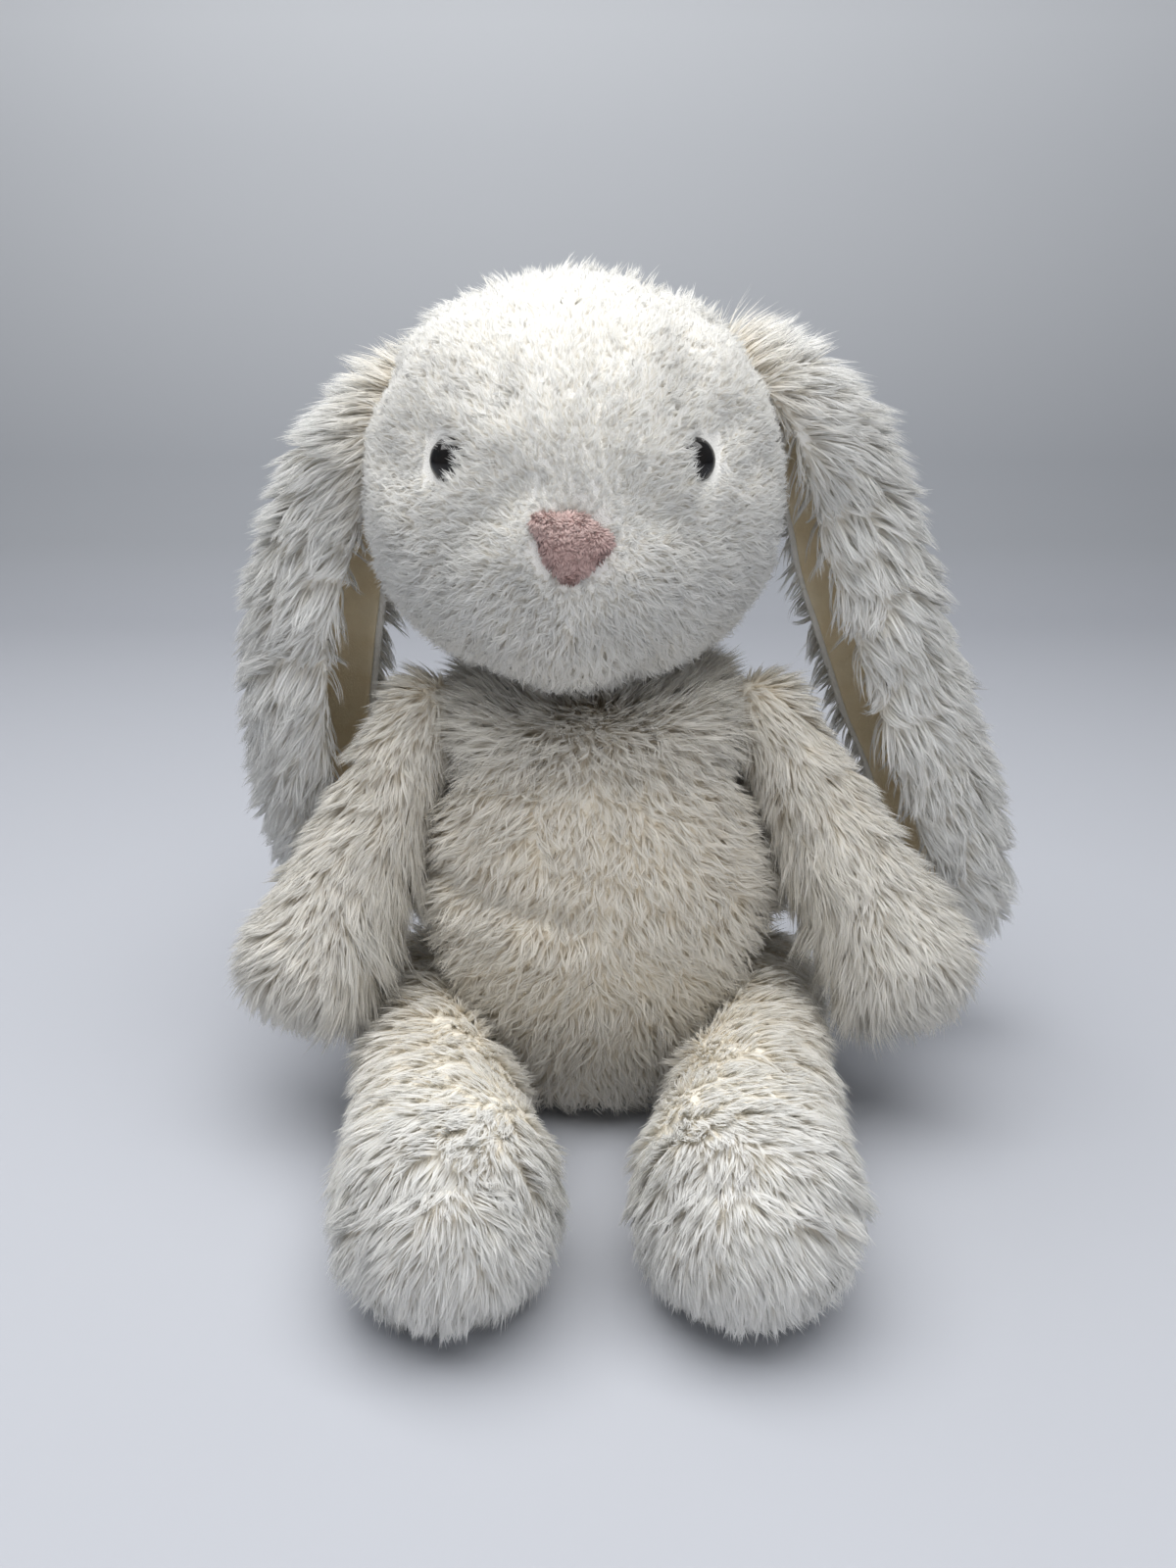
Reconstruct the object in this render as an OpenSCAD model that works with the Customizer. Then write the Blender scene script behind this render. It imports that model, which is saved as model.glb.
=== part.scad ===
// Stuffed bunny rabbit, seated: a plush toy sewn from fur fabric and filled with fibre and beads.
// It sits on the floor at z = 0 and looks along -Y. Its own left side is +X. Millimetres.

/* [Body] */
// Height of the body from the seat to the neck
body_h = 139; // [132:1:143]
// Radius of the body at its widest, low on the belly
belly_r = 58; // [55:1:58]
// Radius of the body at the shoulders
shoulder_r = 43; // [41:1:44]
// Radius of the flat patch that the body sits on
seat_r = 16; // [8:1:20]
// Thickness of the fur fabric with its dense underfur
cloth = 3; // [2:0.25:4]

/* [Head] */
// Radius of the head
head_r = 57; // [55:1:58]
// Height of the head's centre
head_z = 194; // [193:1:197]
// How far the head leans towards the bunny's right
head_lean = 6; // [0:1:7]
// How far the head's centre is in front of the body's axis
head_forward = 10; // [6:1:12]
// Radius of the rounded muzzle
muzzle_r = 40; // [37:1:41]
// Diameter of an eye
eye_d = 12; // [11:0.5:13]
// Angle of each eye from straight ahead
eye_turn = 38; // [35:1:41]
// Width of the nose patch
nose_w = 20; // [16:1:22]
// Height of the nose patch
nose_h = 19; // [15:1:20]

/* [Ears] */
// Width of an ear when it is laid flat
ear_w = 96; // [88:1:100]
// Thickness of the fur side of an ear
ear_fur = 4; // [3:0.25:5]
// Thickness of the smooth lining of an ear
ear_lining = 2; // [1.5:0.25:2.5]

/* [Arms] */
// Radius of an arm at the shoulder
arm_root_r = 13; // [11:0.5:14]
// Radius of an arm halfway along
arm_mid_r = 15.5; // [13:0.5:16.5]
// Radius of an arm at the paw
paw_r = 19.5; // [17:0.5:20]

/* [Legs] */
// Radius of a leg at the hip
hip_r = 21.5; // [20:0.5:22]
// Radius of a leg halfway along
leg_mid_r = 22.5; // [20:0.5:23]
// Radius of a foot
foot_r = 27; // [24:0.5:28]

/* [Tail] */
// Radius of the tail
tail_r = 19; // [15:0.5:22]

/* [Hidden] */
$fn = 48;
gap = 0.3;
far = 400;
sides = ["left", "right"];

// Body
body_axis_points = [
    [seat_r, 0],
    [belly_r * 0.73, 8],
    [belly_r * 0.93, 27],
    [belly_r, 56],
    [belly_r * 0.97, 86],
    [shoulder_r * 1.12, body_h * 0.82],
    [shoulder_r, body_h * 0.91],
    [shoulder_r * 0.7, body_h * 0.975],
    [0, body_h],
];

// Neck: a gathered ring of stitches that the head nods and turns on
neck_at = [-2, -4, body_h];
neck_r = 8;
neck_rise = 2.2;

// Head
head_at = [-head_lean, -head_forward, head_z];
head_floor = body_h + neck_rise + 2 * gap - head_z;
muzzle_out = 3;
muzzle_drop = 14;
muzzle_at = [0, muzzle_r - head_r - muzzle_out, -muzzle_drop];
seam_y = 3;
eye_lift = 10;
eye_sunk = 4.5;
eye_seat = head_r - eye_sunk;
eye_dome_h = 4.5;
shank_r = 1.6;
shank_len = 12;
washer_r = 7;
washer_t = 1.6;
nose_t = 1.4;
nose_lift = 5;

// Ears, each a half-pipe of cloth along its ridge; measured outwards, backwards and up
ear_ridge = [
    [[37, 5, 233], [62, 7, 227], [86, 11, 202], [103, 14, 164], [121, 15, 120], [136, 15, 78], [139, 13, 42]],
    [[47, 5, 229], [68, 7, 219], [88, 11, 197], [104, 15, 161], [110, 18, 122], [109, 22, 88], [104, 25, 58]],
];
ear_curl = [222, 225];
ear_twist = [9, 14];
ear_rings = 20;
ear_cells = 10;
// At the root an ear is pinched to these shares of its width and of its curl
root_width = 0.45;
root_curl = 0.4;
// Shares of the ear's length over which the width, the curl and the twist grow to their full values
width_grows = 0.625;
curl_grows = 0.333;
twist_grows = 0.5;
// How square the tip is, and the least share of the width there
tip_square = 8;
tip_least = 0.14;
// An ear narrower than this thins out towards its tip, so that its curled sides never meet
thin_below_r = 11;

// Arms, from the shoulder to the paw
shoulder_at = [52, -13, 125];
paw_at = [[92, -42, 60], [85, -42, 60]];
shoulder_seat = 39;
shoulder_pocket = 28;

// Legs, from the hip to the foot
hip_at = [55, -8, 24];
foot_at = [37, -119, foot_r];
hip_seat = 40;
hip_pocket = 41;
sole_out = foot_r * 0.6;
// The room beside a leg as it swings about the hip: flat to this radius, then sloping in to the body's axis
room_flat_r = 42;
room_slope = [[60, 27], [71, 0]];

// Tail, flat where it is sewn on
tail_at = [0, belly_r + 7.3, 32];
tail_root = -7;
label_turn = 130;
label_size = [14, 0.8, 18];
label_z = 26;

// Bead bags
bead_seat_r = 26;
bead_seat_z = 22;
bead_seat_floor = 6;
bead_seat_h = 18;
bead_foot_r = 14;
bead_foot_up = 2;

// A smooth line through points, with the given number of steps between each two
function between(a, b, c, d, t) = 0.5 * (
    2 * b + (c - a) * t + (2 * a - 5 * b + 4 * c - d) * t * t + (3 * b - a - 3 * c + d) * t * t * t
);
function along(points, i, t) = between(
    points[max(i - 1, 0)], points[i], points[min(i + 1, len(points) - 1)],
    points[min(i + 2, len(points) - 1)], t
);
function smooth(points, steps) = concat(
    [for (i = [0 : len(points) - 2]) for (k = [0 : steps - 1]) along(points, i, k / steps)],
    [points[len(points) - 1]]
);
function at(points, t) =
    let (s = min(t, 0.9999) * (len(points) - 1), i = floor(s)) along(points, i, s - i);

function unit(v) = v / norm(v);

// An outline from the foot to the top of the axis, moved inwards by t
function inset(points, t) = [
    for (i = [0 : len(points) - 1])
        let (
            a = points[max(i - 1, 0)],
            b = points[min(i + 1, len(points) - 1)],
            n = unit([a.y - b.y, b.x - a.x])
        )
        i == len(points) - 1
            ? points[i] - [0, t]
            : [max(points[i].x + n.x * t, 0), max(points[i].y + n.y * t, t)]
];

// A body of revolution that starts with a flat foot
module turned(points) {
    rotate_extrude() polygon(concat([[0, points[0].y]], points));
}

// A rounded limb from one place to another: balls of radius a and c at its ends, and radius b halfway
module limb(from, to, a, b, c, t) {
    length = norm(to - from);
    outline = smooth([[a, 0], [b, length * 0.5], [c, length]], 5);
    translate(from) towards(to - from) {
        sphere(a - t);
        rotate_extrude() polygon(concat([[0, 0]], [for (p = outline) [p.x - t, p.y]], [[0, length]]));
        translate([0, 0, length]) sphere(c - t);
    }
}

// Turns +Z towards v
module towards(v) {
    rotate([0, acos(v.z / norm(v)), atan2(v.y, v.x)]) children();
}

// Mirrors the right-hand copy
module on_side(side) {
    mirror([side == "right" ? 1 : 0, 0, 0]) children();
}

// A half-space beyond a plane at x
module beyond_x(x, r) {
    translate([x, 0, 0]) rotate([0, 90, 0]) cylinder(r = r, h = far);
}

// Body

module body_form(t) {
    difference() {
        turned(inset(smooth(body_axis_points, 3), t));
        for (side = sides) on_side(side) {
            translate([0, hip_at.y, hip_at.z]) beyond_x(hip_seat - t, hip_pocket + t);
            translate([0, shoulder_at.y, shoulder_at.z]) beyond_x(shoulder_seat - t, shoulder_pocket + t);
        }
    }
}

module body_shell() {
    difference() {
        body_form(0);
        body_form(cloth);
    }
}

module body_front_panel() {
    color("ivory") intersection() {
        body_shell();
        translate([-far / 2, -far, -1]) cube(far);
    }
}

module body_back_panel() {
    color("ivory") intersection() {
        body_shell();
        translate([-far / 2, 0, -1]) cube(far);
    }
}

module bead_seat(t) {
    intersection() {
        translate([0, 0, bead_seat_z]) sphere(bead_seat_r + t);
        translate([-far / 2, -far / 2, bead_seat_floor - t]) cube([far, far, bead_seat_h + 2 * t]);
    }
}

module seat_bead_bag() {
    color("burlywood") bead_seat(0);
}

module body_stuffing() {
    color("white") difference() {
        body_form(cloth + gap);
        bead_seat(gap);
    }
}

// Tail

module tail_form(t) {
    translate(tail_at) rotate([-90, 0, 0]) difference() {
        sphere(tail_r - t);
        translate([-far / 2, -far / 2, tail_root + t - far]) cube(far);
    }
}

module tail_cover() {
    color("white") difference() {
        tail_form(0);
        tail_form(cloth);
    }
}

module tail_stuffing() {
    color("white") tail_form(cloth + gap);
}

module care_label() {
    color("white") rotate([0, 0, label_turn]) translate([belly_r + gap, 0, label_z]) cube(label_size);
}

// Neck

module neck_seam() {
    color("ivory") translate(neck_at + [0, 0, gap])
        cylinder(r1 = neck_r, r2 = 0.5, h = neck_rise);
}

// Head, drawn about its own centre

module eye_place(side) {
    on_side(side) rotate([0, 0, eye_turn]) rotate([90 - eye_lift, 0, 0]) children();
}

module head_form(t) {
    difference() {
        union() {
            sphere(head_r - t, $fn = 64);
            translate(muzzle_at) sphere(muzzle_r - t);
        }
        translate([-far / 2, -far / 2, head_floor + t - far]) cube(far);
        for (side = sides) eye_place(side)
            translate([0, 0, eye_seat - t]) cylinder(d = eye_d + 2 * gap + 2 * t, h = far);
    }
}

module head_shell() {
    difference() {
        head_form(0);
        head_form(cloth);
        for (side = sides) eye_place(side) cylinder(r = shank_r + gap, h = far);
    }
}

module face_panel() {
    color("snow") translate(head_at) intersection() {
        head_shell();
        translate([-far / 2, seam_y - far, -far / 2]) cube(far);
    }
}

module head_back_panel() {
    color("white") translate(head_at) intersection() {
        head_shell();
        translate([-far / 2, seam_y, -far / 2]) cube(far);
    }
}

module head_stuffing() {
    color("white") translate(head_at) difference() {
        head_form(cloth + gap);
        for (side = sides) eye_place(side)
            translate([0, 0, eye_seat - cloth - washer_t - 2 * gap - shank_len])
                cylinder(r = washer_r + gap, h = far);
    }
}

module eye(side) {
    dome_r = (pow(eye_d / 2, 2) + pow(eye_dome_h, 2)) / (2 * eye_dome_h);
    color("black") translate(head_at) eye_place(side) translate([0, 0, eye_seat]) {
        intersection() {
            translate([0, 0, eye_dome_h - dome_r]) sphere(dome_r);
            cylinder(d = eye_d, h = eye_dome_h);
        }
        translate([0, 0, -shank_len]) cylinder(r = shank_r, h = shank_len);
    }
}

module eye_left() { eye("left"); }
module eye_right() { eye("right"); }

module eye_washer(side) {
    color("gainsboro") translate(head_at) eye_place(side)
        translate([0, 0, eye_seat - cloth - washer_t - gap]) difference() {
            cylinder(r = washer_r, h = washer_t);
            translate([0, 0, -1]) cylinder(r = shank_r, h = washer_t + 2);
        }
}

module eye_washer_left() { eye_washer("left"); }
module eye_washer_right() { eye_washer("right"); }

// A shield: wide and nearly straight on top, and round at its lower point
function shield(w, h) = [
    for (a = [0 : 15 : 345])
        let (lobe = 1 + 0.13 * cos(3 * (a + 90)))
        [w / 2 * lobe * cos(a), h / 2 * lobe * sin(a)]
];

module nose_patch() {
    color("rosybrown") translate(head_at + muzzle_at) intersection() {
        difference() {
            sphere(muzzle_r + gap + nose_t);
            sphere(muzzle_r + gap);
        }
        rotate([90, 0, 0]) linear_extrude(far) translate([0, nose_lift]) polygon(shield(nose_w, nose_h));
    }
}

// Ears

// Flat width along the ear, as a share of the widest: a pinched root, a full middle and a round tip
function ear_share(t) = (root_width + (1 - root_width) * sin(min(t / width_grows, 1) * 90))
    * max(sqrt(1 - pow(t, tip_square)), tip_least);

// One ring of an ear: along the fur face, then back along the inner face
function ear_ring(k, t, outer, inner) =
    let (
        p = at(ear_ridge[k], t),
        dir = unit(at(ear_ridge[k], min(t + 0.02, 1)) - at(ear_ridge[k], max(t - 0.02, 0))),
        side = unit([0, 1, 0] - dir.y * dir),
        out = cross(dir, side),
        turn = ear_twist[k] * min(t / twist_grows, 1),
        n = out * cos(turn) + side * sin(turn),
        b = side * cos(turn) - out * sin(turn),
        curl = ear_curl[k] * (root_curl + (1 - root_curl) * min(t / curl_grows, 1)),
        r = ear_w * ear_share(t) / (curl * PI / 180),
        face = function (depth) [
            for (i = [0 : ear_cells])
                let (a = curl * (i / ear_cells - 0.5), q = r - depth * min(r / thin_below_r, 1))
                p + n * (q * cos(a) - r) + b * q * sin(a)
        ],
        fur = face(outer),
        back = face(inner)
    )
    concat(fur, [for (i = [ear_cells : -1 : 0]) back[i]]);

module ear_strip(k, outer, inner) {
    per = 2 * (ear_cells + 1);
    rings = [for (j = [0 : ear_rings]) ear_ring(k, j / ear_rings, outer, inner)];
    points = [for (ring = rings) for (p = ring) p];
    last = ear_rings * per;
    walls = [for (j = [0 : ear_rings - 1]) for (i = [0 : per - 1])
        let (a = j * per + i, b = j * per + (i + 1) % per)
        each [[a, b, b + per], [a, b + per, a + per]]];
    ends = [for (i = [0 : ear_cells - 1])
        let (a = i, b = i + 1, c = per - 2 - i, d = per - 1 - i)
        each [[b, a, d], [b, d, c], [last + a, last + b, last + d], [last + b, last + c, last + d]]];
    polyhedron(points, concat(walls, ends), convexity = 6);
}

// What of an ear lies outside the head
module ear_outside_head(k) {
    difference() {
        on_side(sides[k]) children();
        translate(head_at) sphere(head_r + gap, $fn = 64);
    }
}

module ear_fur_side(k) {
    color("white") ear_outside_head(k) ear_strip(k, 0, ear_fur);
}

module ear_inner_side(k) {
    color("wheat") ear_outside_head(k) ear_strip(k, ear_fur + gap, ear_fur + gap + ear_lining);
}

module ear_left_fur() { ear_fur_side(0); }
module ear_left_lining() { ear_inner_side(0); }
module ear_right_fur() { ear_fur_side(1); }
module ear_right_lining() { ear_inner_side(1); }

// Arms

module arm_form(k, t) {
    difference() {
        limb(shoulder_at, paw_at[k], arm_root_r, arm_mid_r, paw_r, t);
        translate([shoulder_seat + gap + t - far, -far / 2, -far / 2]) cube(far);
    }
}

module arm_cover(k) {
    color("ivory") on_side(sides[k]) difference() {
        arm_form(k, 0);
        arm_form(k, cloth);
    }
}

module arm_stuffing(k) {
    color("white") on_side(sides[k]) arm_form(k, cloth + gap);
}

module arm_left_cover() { arm_cover(0); }
module arm_left_stuffing() { arm_stuffing(0); }
module arm_right_cover() { arm_cover(1); }
module arm_right_stuffing() { arm_stuffing(1); }

// Legs

module hip_room(t) {
    edge = hip_seat + gap + t;
    translate([0, hip_at.y, hip_at.z]) rotate([0, 90, 0]) rotate_extrude()
        polygon([[0, 0], [0, edge], [room_flat_r, edge], room_slope[0] + [0, t], room_slope[1]]);
}

module leg_form(t) {
    difference() {
        limb(hip_at, foot_at, hip_r, leg_mid_r, foot_r, t);
        hip_room(t);
    }
}

module leg_shell() {
    difference() {
        leg_form(0);
        leg_form(cloth);
    }
}

module sole_side() {
    translate(foot_at) towards(foot_at - hip_at) translate([-far / 2, -far / 2, sole_out]) cube(far);
}

module leg_cover(side) {
    color("snow") on_side(side) difference() {
        leg_shell();
        sole_side();
    }
}

module leg_sole(side) {
    color("white") on_side(side) intersection() {
        leg_shell();
        sole_side();
    }
}

module foot_beads(t) {
    translate(foot_at - [0, 0, foot_r - cloth - gap - bead_foot_r - bead_foot_up]) sphere(bead_foot_r + t);
}

module leg_stuffing(side) {
    color("white") on_side(side) difference() {
        leg_form(cloth + gap);
        foot_beads(gap);
    }
}

module foot_bead_bag(side) {
    color("burlywood") on_side(side) foot_beads(0);
}

module leg_left_cover() { leg_cover("left"); }
module leg_left_sole() { leg_sole("left"); }
module leg_left_stuffing() { leg_stuffing("left"); }
module foot_left_bead_bag() { foot_bead_bag("left"); }
module leg_right_cover() { leg_cover("right"); }
module leg_right_sole() { leg_sole("right"); }
module leg_right_stuffing() { leg_stuffing("right"); }
module foot_right_bead_bag() { foot_bead_bag("right"); }

body_front_panel();
body_back_panel();
body_stuffing();
seat_bead_bag();
tail_cover();
tail_stuffing();
care_label();
neck_seam();
face_panel();
head_back_panel();
head_stuffing();
nose_patch();
eye_left();
eye_right();
eye_washer_left();
eye_washer_right();
ear_left_fur();
ear_left_lining();
ear_right_fur();
ear_right_lining();
arm_left_cover();
arm_left_stuffing();
arm_right_cover();
arm_right_stuffing();
leg_left_cover();
leg_left_sole();
leg_left_stuffing();
foot_left_bead_bag();
leg_right_cover();
leg_right_sole();
leg_right_stuffing();
foot_right_bead_bag();
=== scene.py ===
import math

import bmesh
import bpy
import numpy as np
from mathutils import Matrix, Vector
from mathutils.bvhtree import BVHTree
from mathutils.kdtree import KDTree


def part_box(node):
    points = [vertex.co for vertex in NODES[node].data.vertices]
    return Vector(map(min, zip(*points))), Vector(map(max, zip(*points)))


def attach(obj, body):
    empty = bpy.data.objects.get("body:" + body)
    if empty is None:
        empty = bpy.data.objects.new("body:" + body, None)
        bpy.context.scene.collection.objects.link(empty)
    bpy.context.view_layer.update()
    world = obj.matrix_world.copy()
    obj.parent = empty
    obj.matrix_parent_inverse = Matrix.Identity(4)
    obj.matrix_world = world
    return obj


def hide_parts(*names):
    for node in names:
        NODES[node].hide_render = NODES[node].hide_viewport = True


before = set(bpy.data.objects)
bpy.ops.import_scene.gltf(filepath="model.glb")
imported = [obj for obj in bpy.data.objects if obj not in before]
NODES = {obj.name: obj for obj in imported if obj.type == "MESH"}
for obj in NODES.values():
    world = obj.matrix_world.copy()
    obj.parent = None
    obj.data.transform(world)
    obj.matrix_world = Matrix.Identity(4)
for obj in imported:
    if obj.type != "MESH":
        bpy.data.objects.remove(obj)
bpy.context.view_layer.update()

# A seated stuffed bunny. Every length here is in metres; MM turns millimetres into metres.
MM = 0.001
DOWN = np.array([0.0, 0.0, -1.0])
BACK = np.array([0.0, 1.0, 0.0])

CLOTH = 3 * MM          # thickness of the fur fabric's dense backing
SKIN_INSET = 2.4 * MM   # how far under the fur fabric's outside its skin starts
VOXEL = 4.5 * MM        # grid on which the skins are remeshed
HAIRS = 6               # hairs in one lock
STEPS = 3               # straight stretches along one hair
SWIRL_SEED = 5          # the same for every piece, so that their fur meets without a parting
FLOOR_GAP = 0.4 * MM    # no hair reaches under this height
SWELL_FRAMES = 20       # how long the cloth has to settle
SIDES = ("left", "right")
SIGN = {"left": 1.0, "right": -1.0}


# ---------------------------------------------------------------- small tools


def unit(v):
    return v / np.maximum(np.linalg.norm(v, axis=-1, keepdims=True), 1e-12)


def dot(a, b):
    return np.sum(a * b, axis=-1, keepdims=True)


def box_of(*names):
    """Lowest and highest corners of some CAD nodes together, as arrays."""
    corners = [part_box(name) for name in names]
    low = np.min([np.array(c[0]) for c in corners], axis=0)
    high = np.max([np.array(c[1]) for c in corners], axis=0)
    return low, high


def centre_of(*names):
    low, high = box_of(*names)
    return (low + high) / 2


def rise(value, low, high):
    """0 below low, 1 above high, and smooth between."""
    t = np.clip((value - low) / (high - low), 0, 1)
    return t * t * (3 - 2 * t)


def drift(points, size, seed):
    """Smooth vectors that wander between about -1 and 1 over the given size."""
    rng = np.random.default_rng(seed)
    total = np.zeros_like(points)
    for _ in range(6):
        wave = unit(rng.normal(size=3)) * rng.uniform(0.6, 1.5) * 2 * math.pi / size
        phase = rng.uniform(0, 2 * math.pi, 3)
        total += np.sin((points @ wave)[:, None] + phase)
    return total / 2.6


def new_object(name, mesh):
    obj = bpy.data.objects.new(name, mesh)
    bpy.context.scene.collection.objects.link(obj)
    return obj


def with_modifiers_applied(obj):
    graph = bpy.context.evaluated_depsgraph_get()
    mesh = bpy.data.meshes.new_from_object(obj.evaluated_get(graph))
    obj.modifiers.clear()
    obj.data = mesh
    return obj


def coordinates(mesh):
    co = np.zeros(len(mesh.vertices) * 3)
    mesh.vertices.foreach_get("co", co)
    return co.reshape(-1, 3)


def normals_of(mesh):
    out = np.zeros(len(mesh.vertices) * 3)
    mesh.vertex_normals.foreach_get("vector", out)
    return out.reshape(-1, 3)


def put_coordinates(mesh, co):
    mesh.vertices.foreach_set("co", np.ascontiguousarray(co, dtype=np.float32).ravel())
    mesh.update()


# ---------------------------------------------------------------- materials


class Look:
    """A procedural material: its nodes, and short ways to join them."""

    def __init__(self, name, colour, roughness, **sockets):
        self.material = bpy.data.materials.new(name)
        self.material.use_nodes = True
        self.nodes = self.material.node_tree.nodes
        self.links = self.material.node_tree.links
        self.shader = self.nodes["Principled BSDF"]
        self.shader.inputs["Base Color"].default_value = (*colour, 1)
        self.shader.inputs["Roughness"].default_value = roughness
        for socket, value in sockets.items():
            self.shader.inputs[socket.replace("_", " ")].default_value = value

    def add(self, kind, **values):
        node = self.nodes.new(kind)
        for key, value in values.items():
            if key in node.inputs:
                node.inputs[key].default_value = value
            else:
                setattr(node, key, value)
        return node

    def object_coordinates(self):
        return self.add("ShaderNodeTexCoord").outputs["Object"]

    def noise(self, scale, detail=3.0):
        node = self.add("ShaderNodeTexNoise")
        node.inputs["Scale"].default_value = scale
        node.inputs["Detail"].default_value = detail
        self.links.new(self.object_coordinates(), node.inputs["Vector"])
        return node.outputs["Fac"]

    def ramp(self, factor, *stops):
        node = self.add("ShaderNodeValToRGB")
        elements = node.color_ramp.elements
        while len(elements) < len(stops):
            elements.new(0.5)
        for element, (place, colour) in zip(elements, stops):
            element.position = place
            element.color = (*colour, 1)
        self.links.new(factor, node.inputs["Fac"])
        return node.outputs["Color"]

    def mix(self, factor, a, b):
        node = self.add("ShaderNodeMix", data_type="RGBA")
        self.links.new(factor, node.inputs["Factor"])
        self.links.new(a, node.inputs["A"])
        self.links.new(b, node.inputs["B"])
        return node.outputs["Result"]

    def paint(self, colour):
        self.links.new(colour, self.shader.inputs["Base Color"])

    def bump(self, height, distance, strength=1.0):
        node = self.add("ShaderNodeBump")
        node.inputs["Distance"].default_value = distance
        node.inputs["Strength"].default_value = strength
        self.links.new(height, node.inputs["Height"])
        self.links.new(node.outputs["Normal"], self.shader.inputs["Normal"])

    def let_light_through(self, share, colour):
        """Mixes in a translucent shader, as thin fibres let light through."""
        glow = self.add("ShaderNodeBsdfTranslucent")
        self.links.new(colour, glow.inputs["Color"])
        both = self.add("ShaderNodeMixShader")
        both.inputs[0].default_value = share
        out = self.nodes["Material Output"]
        self.links.new(self.shader.outputs[0], both.inputs[1])
        self.links.new(glow.outputs[0], both.inputs[2])
        self.links.new(both.outputs[0], out.inputs["Surface"])


def fibre_look(name, first, last, sheen, glow):
    """Hairs: u runs from the first pair of colours to the last, and v from root to tip."""
    look = Look(name, last[1], 0.62, Sheen_Weight=sheen, Sheen_Roughness=0.45)
    look.shader.inputs["Specular IOR Level"].default_value = 0.2
    uv = look.add("ShaderNodeUVMap", uv_map="OFBake")
    split = look.add("ShaderNodeSeparateXYZ")
    look.links.new(uv.outputs["UV"], split.inputs[0])
    along = split.outputs["Y"]
    # Both ramps are darker and warmer at the root: partly the fibres' own cream, partly painted shade deep
    # between the locks.
    colour_a = look.ramp(along, (0.0, first[0]), (0.6, first[1]))
    colour_b = look.ramp(along, (0.0, last[0]), (0.6, last[1]))
    colour = look.mix(split.outputs["X"], colour_a, colour_b)
    look.paint(colour)
    look.let_light_through(glow, colour)
    return look.material


def backing_look(name, dark, light):
    """Knitted backing under the fur, seen only between the locks."""
    look = Look(name, light, 0.9)
    look.paint(look.ramp(look.noise(160), (0.3, dark), (0.7, light)))
    look.bump(look.noise(2400, 1.0), 0.3 * MM)
    return look.material


def lining_look():
    look = Look("ear_lining_cloth", (0.84, 0.72, 0.50), 0.8, Sheen_Weight=0.4, Sheen_Roughness=0.4)
    look.paint(look.ramp(look.noise(90), (0.3, (0.78, 0.65, 0.43)), (0.7, (0.88, 0.78, 0.58))))
    look.bump(look.noise(1600, 2.0), 0.25 * MM)
    return look.material


def velvet_look():
    look = Look("nose_velvet", (0.66, 0.44, 0.40), 0.85, Sheen_Weight=0.6, Sheen_Roughness=0.35)
    blotches = look.noise(420, 4.0)
    look.paint(look.ramp(blotches, (0.32, (0.56, 0.36, 0.33)), (0.7, (0.76, 0.56, 0.52))))
    look.bump(look.noise(1900, 2.0), 0.3 * MM)
    return look.material


def eye_look():
    look = Look("eye_gloss", (0.006, 0.005, 0.005), 0.07)
    look.shader.inputs["Specular IOR Level"].default_value = 0.42
    look.paint(look.ramp(look.noise(300), (0.3, (0.004, 0.004, 0.004)), (0.8, (0.012, 0.009, 0.008))))
    return look.material


def washer_look():
    look = Look("washer_nylon", (0.8, 0.8, 0.78), 0.45)
    look.paint(look.ramp(look.noise(200), (0.3, (0.74, 0.74, 0.72)), (0.7, (0.86, 0.86, 0.84))))
    return look.material


def filling_look():
    look = Look("fibre_filling", (0.88, 0.88, 0.86), 0.95)
    look.paint(look.ramp(look.noise(70, 6.0), (0.3, (0.78, 0.78, 0.76)), (0.7, (0.92, 0.92, 0.91))))
    look.bump(look.noise(220, 6.0), 1.5 * MM)
    return look.material


def bead_bag_look():
    look = Look("bead_bag_cotton", (0.72, 0.66, 0.56), 0.9)
    look.paint(look.ramp(look.noise(120), (0.3, (0.64, 0.58, 0.48)), (0.7, (0.78, 0.73, 0.64))))
    look.bump(look.noise(380, 1.0), 0.8 * MM)
    return look.material


def satin_look():
    look = Look("label_satin", (0.88, 0.88, 0.88), 0.32, Sheen_Weight=0.3)
    weave = look.add("ShaderNodeTexWave", wave_type="BANDS", bands_direction="Z")
    weave.inputs["Scale"].default_value = 900
    look.links.new(look.object_coordinates(), weave.inputs["Vector"])
    look.paint(look.ramp(weave.outputs["Fac"], (0.2, (0.82, 0.82, 0.82)), (0.8, (0.92, 0.92, 0.92))))
    return look.material


def thread_look():
    look = Look("seam_thread", (0.86, 0.82, 0.72), 0.8)
    look.paint(look.ramp(look.noise(900), (0.3, (0.74, 0.69, 0.58)), (0.7, (0.90, 0.86, 0.78))))
    look.bump(look.noise(1500, 1.0), 0.3 * MM)
    return look.material


def stage_look(name, floor, painted_shade_band, painted_light_wall):
    """Plain paper: the floor's grey, a darker band of painted shade where it starts to rise, and paler
    above as painted light on the backdrop.
    """
    look = Look(name, floor, 0.7)
    split = look.add("ShaderNodeSeparateXYZ")
    look.links.new(look.object_coordinates(), split.inputs[0])
    look.paint(look.ramp(split.outputs["Z"], (0.0, floor), (0.05, painted_shade_band), (0.13, painted_shade_band), (0.62, painted_light_wall)))
    return look.material


# The first colour of each pair is the root's: partly the fibres' own cream, partly painted shade between
# the locks.
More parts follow.
